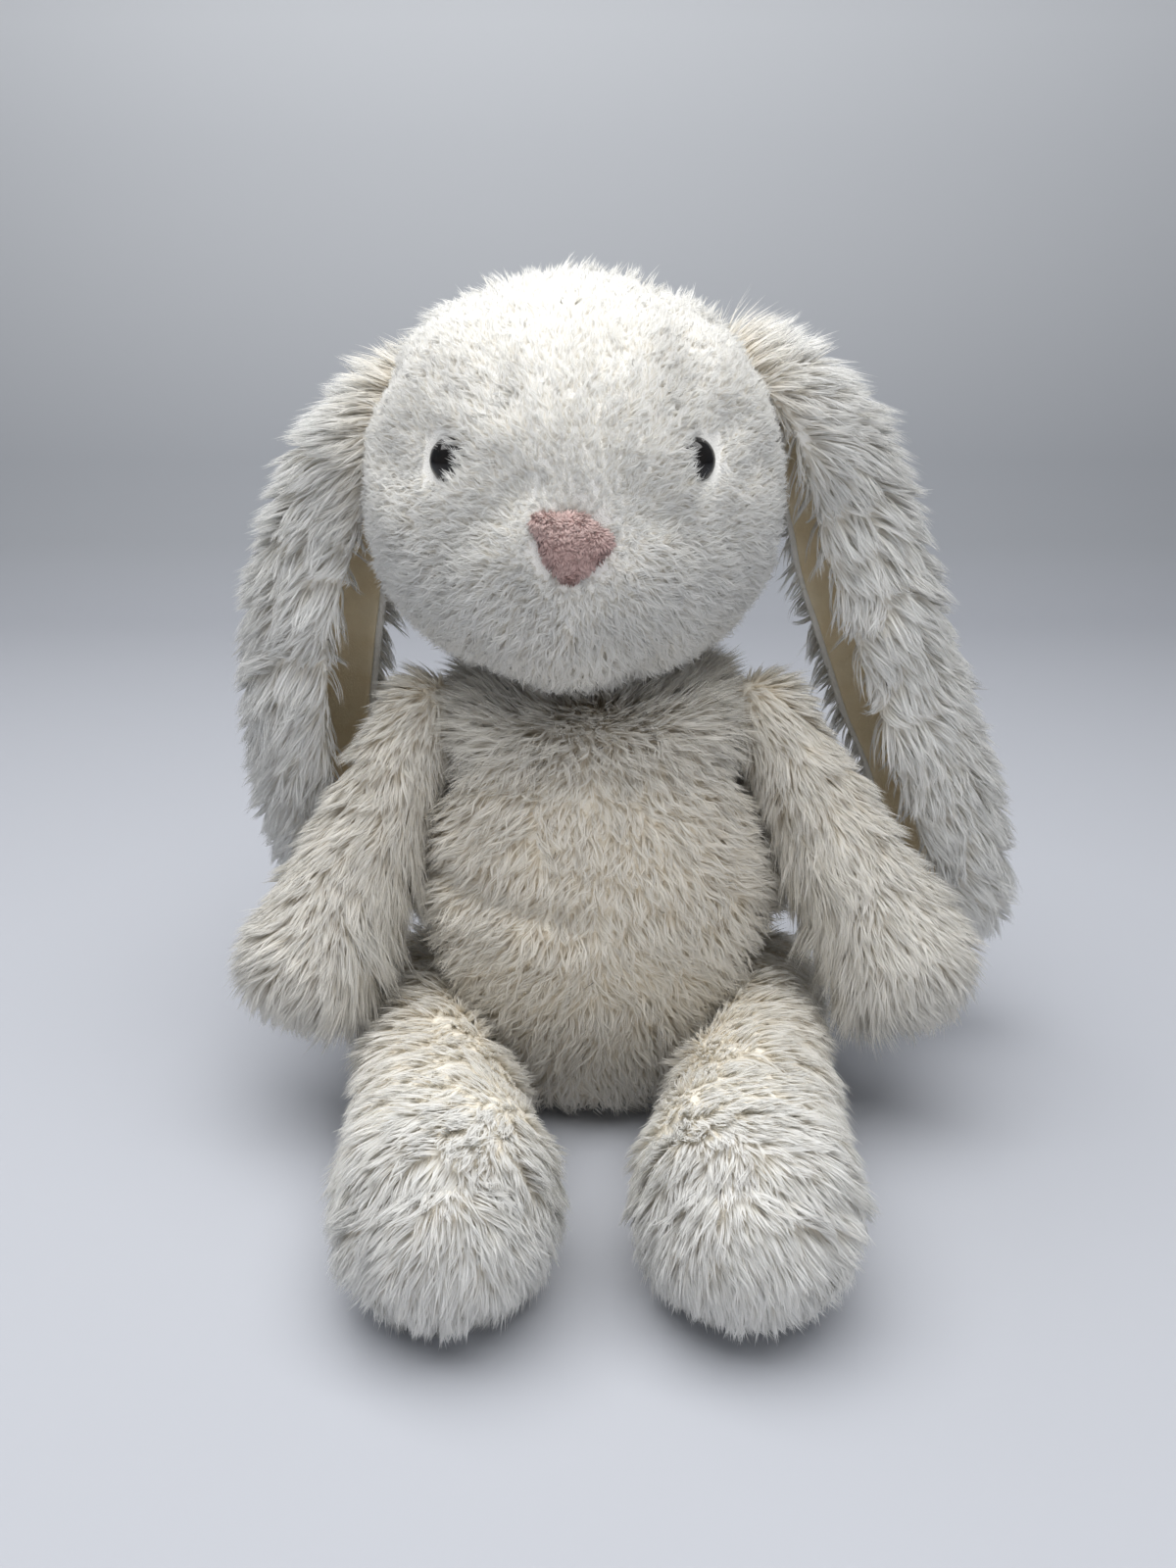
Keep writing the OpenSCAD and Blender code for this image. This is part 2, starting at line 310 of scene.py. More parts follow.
FUR = fibre_look("fur_fibre", ((0.84, 0.74, 0.58), (0.93, 0.895, 0.82)),
                 ((0.90, 0.87, 0.80), (0.955, 0.958, 0.95)), 0.25, 0.52)
BACKING_WHITE = backing_look("backing_white", (0.91, 0.89, 0.84), (0.94, 0.93, 0.90))
BACKING_CREAM = backing_look("backing_cream", (0.86, 0.80, 0.69), (0.92, 0.88, 0.79))
LINING = lining_look()
VELVET = velvet_look()
VELVET_PILE = fibre_look("nose_pile", ((0.50, 0.31, 0.29), (0.72, 0.50, 0.47)),
                         ((0.66, 0.46, 0.43), (0.86, 0.69, 0.65)), 0.5, 0.25)


# ---------------------------------------------------------------- camera, light and stage


CAMERA_AT = Vector((-2, -365, 223)) * MM
CAMERA_DOWN = math.radians(19)
CAMERA_LENS = 27.05


def make_camera():
    data = bpy.data.cameras.new("camera")
    data.lens = CAMERA_LENS
    data.sensor_width = 36
    data.clip_start = 0.01
    camera = new_object("camera", data)
    camera.location = CAMERA_AT
    camera.rotation_euler = (math.radians(90) - CAMERA_DOWN, 0, 0)
    bpy.context.scene.camera = camera


def area_light(name, place, aim, size, power, colour):
    data = bpy.data.lights.new(name, "AREA")
    data.shape = "RECTANGLE"
    data.size, data.size_y = size
    data.energy = power
    data.color = colour
    light = new_object(name, data)
    light.location = place
    light.rotation_euler = (Vector(aim) - Vector(place)).to_track_quat("-Z", "Y").to_euler()
    return light


def make_lights():
    area_light("top_softbox", (-0.08, -0.16, 1.12), (0, -0.01, 0.1), (1.5, 1.0), 21.5, (1.0, 0.997, 0.99))
    area_light("front_fill", (0.12, -0.85, 0.13), (0, 0, 0.05), (1.0, 0.22), 1.45, (0.985, 0.985, 1.0))
    world = bpy.data.worlds.new("studio")
    world.use_nodes = True
    sky = world.node_tree.nodes["Background"]
    sky.inputs["Color"].default_value = (0.90, 0.94, 1.0, 1)
    sky.inputs["Strength"].default_value = 0.22
    bpy.context.scene.world = world
    bpy.context.scene.view_settings.view_transform = "Standard"


def make_stage():
    """A floor that curves up into a backdrop."""
    wide = 9.0
    front = -1.6
    bend_at = 0.75
    bend_r = 0.5
    top = 2.2
    bend_steps = 24
    profile = [(front, 0.0), (0.0, 0.0)]
    for step in range(bend_steps + 1):
        angle = math.radians(90) * step / bend_steps
        profile.append((bend_at + bend_r * math.sin(angle), bend_r * (1 - math.cos(angle))))
    profile.append((bend_at + bend_r, top))
    shape = bmesh.new()
    rows = [[shape.verts.new((x, y, z)) for x in (-wide, wide)] for y, z in profile]
    for a, b in zip(rows, rows[1:]):
        shape.faces.new((a[0], a[1], b[1], b[0]))
    mesh = bpy.data.meshes.new("studio_floor")
    shape.to_mesh(mesh)
    shape.free()
    mesh.shade_smooth()
    floor = new_object("studio_floor", mesh)
    # The floor's grey, then a band of painted shade, then a paler wall of painted light.
    floor.data.materials.append(stage_look("studio_paper", (0.43, 0.445, 0.485), (0.385, 0.40, 0.43),
                                           (0.77, 0.79, 0.82)))


# ---------------------------------------------------------------- skins


def outer_shape(names, voxel):
    """The outside of some CAD nodes as one even mesh."""
    joined = bmesh.new()
    for name in names:
        joined.from_mesh(NODES[name].data)
    bmesh.ops.remove_doubles(joined, verts=joined.verts, dist=0.002 * MM)
    mesh = bpy.data.meshes.new("outer_shape")
    joined.to_mesh(mesh)
    joined.free()
    obj = new_object("outer_shape", mesh)
    remesh = obj.modifiers.new("remesh", "REMESH")
    remesh.mode = "VOXEL"
    remesh.voxel_size = voxel
    with_modifiers_applied(obj)
    keep_largest_island(obj.data)
    return obj


def keep_largest_island(mesh):
    shape = bmesh.new()
    shape.from_mesh(mesh)
    left = set(shape.verts)
    islands = []
    while left:
        todo = [left.pop()]
        island = set(todo)
        while todo:
            for edge in todo.pop().link_edges:
                for vert in edge.verts:
                    if vert in left:
                        left.remove(vert)
                        island.add(vert)
                        todo.append(vert)
        islands.append(island)
    largest = max(islands, key=len)
    bmesh.ops.delete(shape, geom=[v for v in shape.verts if v not in largest], context="VERTS")
    shape.to_mesh(mesh)
    shape.free()


def swell(obj, start, outwards, pinned, most, growth):
    """Fills the skin like a stuffed cover: the cloth is cut larger by growth and held at its seams."""
    group = obj.vertex_groups.new(name="seams")
    group.add([int(i) for i in np.nonzero(pinned)[0]], 1.0, "REPLACE")
    cloth = obj.modifiers.new("cloth", "CLOTH")
    cloth.settings.quality = 4
    cloth.settings.mass = 0.02
    cloth.settings.shrink_min = -growth
    cloth.settings.tension_stiffness = 12
    cloth.settings.compression_stiffness = 12
    cloth.settings.bending_stiffness = 0.3
    cloth.settings.use_pressure = True
    cloth.settings.uniform_pressure_force = 40
    cloth.settings.vertex_group_mass = "seams"
    cloth.settings.effector_weights.gravity = 0
    cloth.collision_settings.use_collision = False
    cloth.point_cache.frame_start = 1
    cloth.point_cache.frame_end = SWELL_FRAMES
    scene = bpy.context.scene
    for number in range(1, SWELL_FRAMES + 1):
        scene.frame_set(number)
    with_modifiers_applied(obj)
    scene.frame_set(1)
    move = coordinates(obj.data) - start
    far = np.linalg.norm(move, axis=1, keepdims=True)
    move = move * np.minimum(1, most / np.maximum(far, 1e-9))
    inwards = np.minimum(dot(move, outwards), 0)
    put_coordinates(obj.data, start + move - outwards * inwards)


def make_skin(name, nodes, body, material, most, seam_of, growth=0.1):
    """A stuffed cover that stands for its CAD nodes: seam_of says which points are sewn down."""
    obj = outer_shape(nodes, VOXEL)
    obj.name = name
    obj.data.name = name
    smooth = obj.modifiers.new("smooth", "SMOOTH")
    smooth.iterations = 3
    with_modifiers_applied(obj)
    co = coordinates(obj.data)
    start = co - normals_of(obj.data) * SKIN_INSET
    put_coordinates(obj.data, start)
    swell(obj, start, normals_of(obj.data), seam_of(start), most, growth)
    relax = obj.modifiers.new("relax", "SMOOTH")
    relax.iterations = 2
    finer = obj.modifiers.new("finer", "SUBSURF")
    finer.levels = 1
    with_modifiers_applied(obj)
    obj.data.shade_smooth()
    obj.data.materials.clear()
    obj.data.materials.append(material)
    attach(obj, body)
    return obj


# ---------------------------------------------------------------- fur


class Ground:
    """The faces of a skin that one piece of fur grows on."""

    def __init__(self, skin, keep):
        mesh = skin.data
        mesh.calc_loop_triangles()
        corners = np.zeros(len(mesh.loop_triangles) * 3, int)
        mesh.loop_triangles.foreach_get("vertices", corners)
        corners = corners.reshape(-1, 3)
        co = coordinates(mesh)
        middle = co[corners].mean(axis=1)
        across = np.cross(co[corners[:, 1]] - co[corners[:, 0]], co[corners[:, 2]] - co[corners[:, 0]])
        chosen = keep(middle, unit(across))
        self.co = co[corners[chosen]]
        self.normals = normals_of(mesh)[corners[chosen]]
        self.area = np.linalg.norm(across[chosen], axis=1) / 2

    def scatter(self, count, weight, rng):
        """Evenly spread points with their normals, denser where weight is greater."""
        share = self.area * weight(self.co.mean(axis=1))
        total = np.cumsum(share)
        places = (np.arange(count) + rng.random(count)) / count * total[-1]
        face = np.minimum(np.searchsorted(total, places), len(share) - 1)
        a, b = rng.random((2, count, 1))
        flip = (a + b) > 1
        a = np.where(flip, 1 - a, a)
        b = np.where(flip, 1 - b, b)
        mix = np.concatenate([1 - a - b, a, b], axis=1)[:, :, None]
        return (self.co[face] * mix).sum(axis=1), unit((self.normals[face] * mix).sum(axis=1))


def tuft_pull(roots, normals, each, seed):
    """For each lock, the way to the middle of the tuft that it leans into."""
    rng = np.random.default_rng(seed)
    middles = roots[rng.choice(len(roots), max(len(roots) // each, 1), replace=False)]
    tree = KDTree(len(middles))
    for index, place in enumerate(middles):
        tree.insert(place, index)
    tree.balance()
    nearest = np.array([tree.find(place)[1] for place in roots])
    way = middles[nearest] - roots
    return way - dot(way, normals) * normals, nearest


def hair_mesh(name, points, across, shade, tone):
    """Thin tapering ribbons. points is hairs x 4 x 3; across gives half of each ribbon's width."""
    count = len(points)
    left = points[:, :STEPS] - across
    right = points[:, :STEPS] + across
    per = 2 * STEPS + 1
    verts = np.empty((count, per, 3), np.float32)
    verts[:, 0:2 * STEPS:2] = left
    verts[:, 1:2 * STEPS:2] = right
    verts[:, 2 * STEPS] = points[:, STEPS]
    faces = [(0, 1, 3, 2), (2, 3, 5, 4), (4, 5, 6)]
    order = np.array([i for face in faces for i in face])
    sizes = np.array([len(face) for face in faces])
    loops = (np.arange(count)[:, None] * per + order).ravel().astype(np.int32)
    starts = (np.arange(count)[:, None] * len(order) + np.concatenate([[0], np.cumsum(sizes)[:-1]])).ravel()
    mesh = bpy.data.meshes.new(name)
    mesh.vertices.add(count * per)
    mesh.vertices.foreach_set("co", verts.ravel())
    mesh.loops.add(len(loops))
    mesh.loops.foreach_set("vertex_index", loops)
    mesh.polygons.add(count * len(faces))
    mesh.polygons.foreach_set("loop_start", starts.astype(np.int32))
    mesh.update(calc_edges=True)
    along = np.array([0, 0, 1, 1, 2, 2, 3]) / STEPS
    uv = np.empty((count, per, 2), np.float32)
    uv[:, :, 0] = tone[:, None]
    uv[:, :, 1] = along
    layer = mesh.uv_layers.new(name="OFBake")
    layer.data.foreach_set("uv", uv.reshape(-1, 2)[loops].ravel())
    mesh.shade_smooth()
    mesh.normals_split_custom_set_from_vertices(np.repeat(shade, per, axis=0).reshape(-1, 3))
    return mesh


def grow(name, skin, keep, body, coat, locks, seed, material=None):
    """Grows one piece of fur. coat says, for each root, how the locks there lie."""
    rng = np.random.default_rng(seed)
    ground = Ground(skin, keep)
    roots, normals = ground.scatter(locks, coat.get("dense", lambda p: np.ones(len(p))), rng)
    lie = coat["lie"](roots, normals) + coat["swirl"] * drift(roots, coat["swirl_size"], SWIRL_SEED)
    lie = unit(lie - dot(lie, normals) * normals)
    side = np.cross(normals, lie)
    length = coat["length"](roots, normals) * rng.uniform(0.78, 1.12, len(roots))
    pull, tuft = tuft_pull(roots, normals, coat["tuft"], seed + 2)
    lean = rng.normal(0, coat["stray"], (len(roots), 1))
    lie = unit(lie + side * lean)
    side = np.cross(normals, lie)
    rise_by_tuft = rng.normal(0, 0.12, len(roots))[tuft][:, None]
    root_lift, tip_lift = coat["lift"](roots, normals)
    centre = [roots - normals * coat["sunk"]]
    for step in range(STEPS):
        t = (step + 0.5) / STEPS
        angle = root_lift[:, None] * (1 - t) + tip_lift[:, None] * t + rise_by_tuft
        way = normals * np.sin(angle) + lie * np.cos(angle)
        centre.append(centre[-1] + way * length[:, None] / STEPS)
    curl_phase = rng.uniform(0, 2 * math.pi, (len(roots), 1))
    for step in range(1, STEPS + 1):
        t = step / STEPS
        sway = np.sin(curl_phase + t * coat["curl_turns"]) - np.sin(curl_phase)
        centre[step] = centre[step] + side * sway * coat["curl"] * length[:, None] * t
        centre[step] = centre[step] + pull * coat["tuft_pull"] * t * t
    hairs = make_hairs(np.stack(centre, axis=1), normals, lie, side, length, coat, rng)
    tone = np.clip(coat["tone"](roots, normals) + rng.normal(0, 0.06, len(roots)), 0.02, 0.98)
    tone = np.clip(np.repeat(tone, HAIRS) + rng.normal(0, 0.05, len(roots) * HAIRS), 0.01, 0.99)
    obj = new_object(name, hair_mesh(name, *hairs, tone))
    obj.data.materials.append(material or FUR)
    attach(obj, body)
    return obj


def make_hairs(centre, normals, lie, side, length, coat, rng):
    """Splits each lock into hairs that stand apart at the root and meet near the tip."""
    locks = len(centre)
    angle = rng.uniform(0, 2 * math.pi, (locks, HAIRS, 1))
    reach = np.sqrt(rng.random((locks, HAIRS, 1)))
    around = (lie[:, None] * np.cos(angle) + side[:, None] * np.sin(angle)) * reach
    spread = coat["lock_width"] / 2
    scale = rng.uniform(0.72, 1.08, (locks, HAIRS, 1))
    stray = rng.normal(0, coat["frizz"], (locks, HAIRS, 3)) * length[:, None, None]
    t = np.arange(STEPS + 1)[None, None, :, None] / STEPS
    base = centre[:, None, :1]
    line = base + (centre[:, None] - base) * scale[:, :, None]
    line = line + around[:, :, None] * spread * (1 - coat["gather"] * t) + stray[:, :, None] * t ** 1.5
    facing = unit(normals[:, None] + around * 0.8 + rng.normal(0, 0.3, (locks, HAIRS, 3)))
    line = line.reshape(-1, STEPS + 1, 3)
    line[:, :, 2] = np.maximum(line[:, :, 2], FLOOR_GAP)
    facing = facing.reshape(-1, 3)
    ahead = unit(line[:, 1:] - line[:, :-1])
    across = unit(np.cross(ahead, facing[:, None]))
    taper = np.array([1.0, 0.95, 0.62])[None, :, None]
    across = across * coat["hair_width"] / 2 * taper
    outwards = unit(normals[:, None] + around * 0.4 + rng.normal(0, 0.08, (locks, HAIRS, 3)))
    return line, across, outwards.reshape(-1, 3)


# ---------------------------------------------------------------- the bunny's own landmarks

TORSO = ["body_front_panel", "body_back_panel", "body_stuffing", "seat_bead_bag"]
HEAD = ["face_panel", "head_back_panel", "head_stuffing", "eye_washer_left", "eye_washer_right"]
SEAM_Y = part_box("face_panel")[1].y
HEAD_LOW, HEAD_HIGH = box_of("face_panel", "head_back_panel")
HEAD_R = (HEAD_HIGH[0] - HEAD_LOW[0]) / 2
HEAD_AT = np.array([(HEAD_LOW[0] + HEAD_HIGH[0]) / 2, SEAM_Y - 3 * MM, HEAD_HIGH[2] - HEAD_R])
NOSE_AT = centre_of("nose_patch")
EYES_AT = {side: centre_of(f"eye_{side}") for side in SIDES}
BODY_TOP = box_of(*TORSO)[1][2]


# Radii of the round ends of the limbs, as they are in the CAD
ARM_ROOT_R = 13 * MM
ARM_END_R = 19.5 * MM
LEG_ROOT_R = 20 * MM
LEG_END_R = 27 * MM
LEG_SLOPE = 3 * MM      # how far a hip's middle is under a foot's middle


def arm_line(side):
    """From an arm's shoulder to its round paw, at the middle of each."""
    low, high = box_of(f"arm_{side}_cover")
    outer_x = high[0] - ARM_END_R if side == "left" else low[0] + ARM_END_R
    inner_x = low[0] if side == "left" else high[0]
    end = np.array([outer_x, low[1] + ARM_END_R, low[2] + ARM_END_R])
    return np.array([inner_x, high[1] - ARM_ROOT_R, high[2] - ARM_ROOT_R]), end


def leg_line(side):
    """From a leg's hip to its round foot, at the middle of each."""
    low, high = box_of(f"leg_{side}_cover", f"leg_{side}_sole")
    end_x = low[0] + LEG_END_R if side == "left" else high[0] - LEG_END_R
    root_x = high[0] - LEG_ROOT_R if side == "left" else low[0] + LEG_ROOT_R
    end = np.array([end_x, low[1] + LEG_END_R, low[2] + LEG_END_R])
    return np.array([root_x, high[1] - LEG_ROOT_R, end[2] - LEG_SLOPE]), end


# ---------------------------------------------------------------- coats


def coat(length, lift, lie, tone, **changes):
    """How one sort of fur lies. Lengths in metres, lifts in degrees from the skin."""
    settings = {
        "length": length, "lie": lie, "tone": tone,
        "lift": lift if callable(lift) else lambda p, n: level(p, *lift),
        "swirl": 0.45, "swirl_size": 34 * MM, "tuft": 14, "tuft_pull": 0.5, "stray": 0.16,
        "curl": 0.06, "curl_turns": 3.2, "frizz": 0.035, "gather": 0.86,
        "lock_width": 2.1 * MM, "hair_width": 0.4 * MM, "sunk": 0.6 * MM,
    }
    settings.update(changes)
    return settings


def level(points, root_degrees, tip_degrees):
    root = np.full(len(points), math.radians(root_degrees))
    tip = np.full(len(points), math.radians(tip_degrees))
    return root, tip


def body_coat():
    def lie(p, n):
        sideways = np.clip(p[:, :1] / (32 * MM), -1.3, 1.3)
        return DOWN + 0.3 * unit(p * [1, 1, 0]) + sideways * [0.9, 0, 0]

    def length(p, n):
        middle = np.exp(-((p[:, 0] / (26 * MM)) ** 2)) * rise(-n[:, 1], 0.3, 0.8)
        top = rise(p[:, 2], 112 * MM, 130 * MM)
        flank = rise(np.abs(p[:, 0]), 40 * MM, 54 * MM) * (1 - rise(p[:, 2], 84 * MM, 98 * MM))
        return (11.0 - 2.5 * middle + 5.0 * top + 4.0 * flank) * MM

    def lift(p, n):
        top = rise(p[:, 2], 114 * MM, 132 * MM)
        return np.radians(48 + 22 * top), np.radians(22 + 34 * top)

    def tone(p, n):
        # The fur is painted whiter near the bottom, as painted light on the low belly that gets little
        # light.
        low = 1 - rise(p[:, 2], 10 * MM, 60 * MM)
        return 0.29 + 0.05 * low + 0.06 * rise(p[:, 2], 90 * MM, 135 * MM)

    return coat(length, lift, lie, tone, curl=0.16, curl_turns=5.0, swirl=0.45, swirl_size=26 * MM,
                dense=lambda p: 1 + 1.2 * rise(p[:, 2], 112 * MM, 128 * MM))


def face_coat():
    def beside_eye(p, eye):
        """Nearness to one eye, and how far a point is on its outer side."""
        away = p - eye
        near = np.exp(-(np.linalg.norm(away, axis=1) / (11 * MM)) ** 2)
        return away, near, rise(away[:, 0] * np.sign(eye[0] - HEAD_AT[0]), -1 * MM, 4 * MM)

    def lie(p, n):
        out = p - NOSE_AT
        for eye in EYES_AT.values():
            away, near, outer = beside_eye(p, eye)
            out = out + unit(away) * (near * outer)[:, None] * 60 * MM
            out = out - unit(away) * (near * (1 - outer))[:, None] * 40 * MM
        return unit(out)

    def length(p, n):
        from_nose = np.linalg.norm(p - NOSE_AT, axis=1)
        cheek = rise(NOSE_AT[2] + 14 * MM - p[:, 2], 0, 30 * MM)
        edge = rise(p[:, 1], SEAM_Y - 22 * MM, SEAM_Y)
        close = rise(from_nose, 10 * MM, 24 * MM)
        plain = (4.8 + 2.6 * cheek + 2.6 * edge) * (0.6 + 0.4 * close)
        for eye in EYES_AT.values():
            _, near, outer = beside_eye(p, eye)
            plain = plain * (1 - 0.5 * near * outer) + 2.6 * near * (1 - outer)
        return plain * MM

    def lift(p, n):
        cheek = rise(NOSE_AT[2] + 14 * MM - p[:, 2], 0, 30 * MM)
        over = np.zeros(len(p))
        for eye in EYES_AT.values():
            _, near, outer = beside_eye(p, eye)
            over = over + near * (1 - outer)
        return np.radians(48 + 8 * cheek + 20 * over), np.radians(22 + 8 * cheek + 6 * over)

    def tone(p, n):
        under = 1 - rise(p[:, 2], 150 * MM, 172 * MM)
        return 0.84 - 0.20 * under

    return coat(length, lift, lie, tone, curl=0.2, curl_turns=5.0, swirl=0.22, swirl_size=12 * MM,
                gather=0.75, frizz=0.05, lock_width=1.5 * MM, hair_width=0.36 * MM, stray=0.28,
                tuft=12, tuft_pull=0.25)


def head_back_coat():
    def lie(p, n):
        return BACK * 0.8 + DOWN * 0.8 + (p - HEAD_AT) / HEAD_R * [0.5, 0, 0]

    def length(p, n):
        crown = rise(p[:, 2], HEAD_AT[2] + 25 * MM, HEAD_AT[2] + 50 * MM)
        nape = 1 - rise(p[:, 2], 142 * MM, 165 * MM)
        return (11.5 - 1.0 * crown + 5.0 * nape) * MM

    def lift(p, n):
        crown = rise(p[:, 2], HEAD_AT[2] + 20 * MM, HEAD_AT[2] + 50 * MM)
        seam = 1 - rise(p[:, 1], SEAM_Y, SEAM_Y + 14 * MM)
        standing = np.radians(50 + 16 * crown * seam)
        return standing, np.radians(16 + 24 * crown * seam)

    def tone(p, n):
        return 0.62 + 0.24 * rise(p[:, 2], 190 * MM, 235 * MM)

    def dense(p):
        return 1 + 1.3 * rise(p[:, 2], HEAD_AT[2] + 25 * MM, HEAD_AT[2] + 50 * MM)

    return coat(length, lift, lie, tone, swirl=0.5, dense=dense)


def ear_coat(side):
    out = np.array([SIGN[side], 0, 0])

    def lie(p, n):
        arch = rise(p[:, 2], 170 * MM, 235 * MM)[:, None]
        return DOWN * (1 - 0.7 * arch) + out * (0.25 + 0.8 * arch) + n * 0.2

    def length(p, n):
        return (12.0 + 2.0 * rise(p[:, 2], 150 * MM, 215 * MM)) * MM

    def lift(p, n):
        arch = rise(p[:, 2], 180 * MM, 230 * MM)
        return np.radians(56 + 10 * arch), np.radians(24 + 12 * arch)

    def tone(p, n):
        # Near the head the ear fur is painted warmer and darker, as painted shade in the crease where the
        # ear meets the head.
        root = 1 - rise(np.linalg.norm(p - HEAD_AT, axis=1), HEAD_R, HEAD_R + 12 * MM)
        return 0.88 - 0.45 * root

    return coat(length, lift, lie, tone, swirl=0.3, tuft=18, tuft_pull=0.8, gather=0.92, frizz=0.025,
                lock_width=2.4 * MM, hair_width=0.42 * MM, stray=0.12)


def limb_coat(root, end, tones, lengths, lifts, fall, across=0.0):
    """Fur that runs from a limb's root to its end, and fans out over the round end."""
    axis = unit(end - root)
    span = np.linalg.norm(end - root)

    def place(p):
        return ((p - root) @ axis) / span

    def lie(p, n):
        past = rise(place(p), 0.92, 1.22)[:, None]
        outwards = np.array([np.sign(end[0]), 0, 0])
        return (axis + DOWN * fall + outwards * across) * (1 - past) + (DOWN * 1.1 + outwards * 0.25) * past

    def length(p, n):
        plain = lengths[0] + (lengths[1] - lengths[0]) * rise(place(p), 0.4, 1.05)
        inner = rise(-n[:, 0] * np.sign(end[0]), 0.2, 0.8) * rise(place(p), 0.3, 0.5)
        return (plain + lengths[2] * inner) * MM

    def lift(p, n):
        past = rise(place(p), 0.9, 1.2)
        return np.radians(lifts[0] + 20 * past), np.radians(lifts[1] + 12 * past)

    def tone(p, n):
        return tones[0] + (tones[1] - tones[0]) * rise(place(p), 0.35, 1.0)

    return coat(length, lift, lie, tone, swirl=0.32, swirl_size=26 * MM)


def tail_coat():
    middle = centre_of("tail_cover")

    def lie(p, n):
        return DOWN + 0.4 * unit(p - middle)

    return coat(lambda p, n: np.full(len(p), 13 * MM), (75, 45), lie, lambda p, n: np.full(len(p), 0.8))


# ---------------------------------------------------------------- pieces


def everywhere(p, n):
    return np.ones(len(p), bool)


def torso():
    def seams(p):
        side_seam = np.abs(p[:, 1]) < 2.2 * MM
        return side_seam | (p[:, 2] < 3 * MM) | (p[:, 2] > BODY_TOP - 6 * MM)

    skin = make_skin("body_skin", TORSO, "torso", BACKING_CREAM, 4.6 * MM, seams, 0.11)
    press_in(skin, belly_fold)
    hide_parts("body_front_panel", "body_back_panel")
    fur = body_coat()
    low = 2.0 * MM
    parts = [("body_front_fur_left", lambda p, n: (p[:, 1] < 0) & (p[:, 0] >= 0) & (p[:, 2] > low), 5600),
             ("body_front_fur_right", lambda p, n: (p[:, 1] < 0) & (p[:, 0] < 0) & (p[:, 2] > low), 5600),
             ("body_back_fur_left", lambda p, n: (p[:, 1] >= 0) & (p[:, 0] >= 0) & (p[:, 2] > low), 3300),
             ("body_back_fur_right", lambda p, n: (p[:, 1] >= 0) & (p[:, 0] < 0) & (p[:, 2] > low), 3300)]
    for number, (name, keep, locks) in enumerate(parts):
        grow(name, skin, keep, "torso", fur, locks, 100 + 10 * number)


def press_in(skin, depth_at):
    """Presses a skin inwards by the depth that depth_at gives for each of its points."""
    co = coordinates(skin.data)
    put_coordinates(skin.data, co - normals_of(skin.data) * depth_at(co)[:, None])


def belly_fold(co):
    """The soft fold that runs in from one side across the belly."""
    below = co[:, 2] - (83 * MM - 0.16 * (co[:, 0] + 40 * MM))
    across = (1 - rise(co[:, 0], -12 * MM, 8 * MM)) * (co[:, 1] < 0)
    return 2.6 * MM * np.exp(-(below / (4.5 * MM)) ** 2) * across


def tail():
    def seams(p):
        return p[:, 1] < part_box("tail_cover")[0].y + 2 * MM

    skin = make_skin("tail_skin", ["tail_cover", "tail_stuffing"], "torso", BACKING_WHITE,
                     2 * MM, seams)
    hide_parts("tail_cover")
    grow("tail_fur", skin, everywhere, "torso", tail_coat(), 1500, 200)


def head():
    def seams(p):
        sockets = np.zeros(len(p), bool)
        for eye in EYES_AT.values():
            sockets |= np.linalg.norm(p - eye, axis=1) < 9 * MM
        crown = p[:, 2] > HEAD_AT[2] + 46 * MM
        sockets |= np.linalg.norm(p - NOSE_AT, axis=1) < 9 * MM
        return sockets | crown | (np.abs(p[:, 1] - SEAM_Y) < 2 * MM) | (p[:, 2] < HEAD_LOW[2] + 4 * MM)

    skin = make_skin("head_skin", HEAD, "head", BACKING_WHITE, 5.0 * MM, seams, 0.13)
    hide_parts("face_panel", "head_back_panel")
    face = face_coat()
    back = head_back_coat()
    eyes = list(EYES_AT.values())

    def bare(p):
        """Under the nose patch and behind the eyes nothing grows."""
        away = np.abs(p - NOSE_AT)
        nose = (away[:, 0] < 8.5 * MM) & (away[:, 2] < 7 * MM) & (p[:, 1] < NOSE_AT[1] + 12 * MM)
        hole = np.zeros(len(p), bool)
        for eye in eyes:
            outer_side = (p[:, 0] - eye[0]) * np.sign(eye[0] - HEAD_AT[0]) > 0
            hole |= np.linalg.norm(p - eye, axis=1) < np.where(outer_side, 7.8, 6.3) * MM
        return nose | hole

    brow_z = NOSE_AT[2] + 10 * MM

    def part(side, front, high=None):
        def keep(p, n):
            kept = ((p[:, 0] - HEAD_AT[0]) * SIGN[side] >= 0) & ((p[:, 1] < SEAM_Y) == front)
            if high is not None:
                kept &= ((p[:, 2] > brow_z) == high) & ~bare(p)
            return kept
        return keep

    parts = [("brow_fur_left", part("left", True, True), 4400, face, "face_fur"),
             ("brow_fur_right", part("right", True, True), 4400, face, "face_fur"),
             ("muzzle_fur_left", part("left", True, False), 4600, face, "face_fur"),
             ("muzzle_fur_right", part("right", True, False), 4600, face, "face_fur"),
             ("head_back_fur_left", part("left", False), 3300, back, "long_fur"),
             ("head_back_fur_right", part("right", False), 3300, back, "long_fur")]
    for number, (name, keep, locks, fur, slot) in enumerate(parts):
        grow(name, skin, keep, "head", fur, locks, 300 + 10 * number)


EAR_SEED = {"left": 500, "right": 520}
ARM_SEED = {"left": 600, "right": 620}
LEG_SEED = {"left": 700, "right": 740}


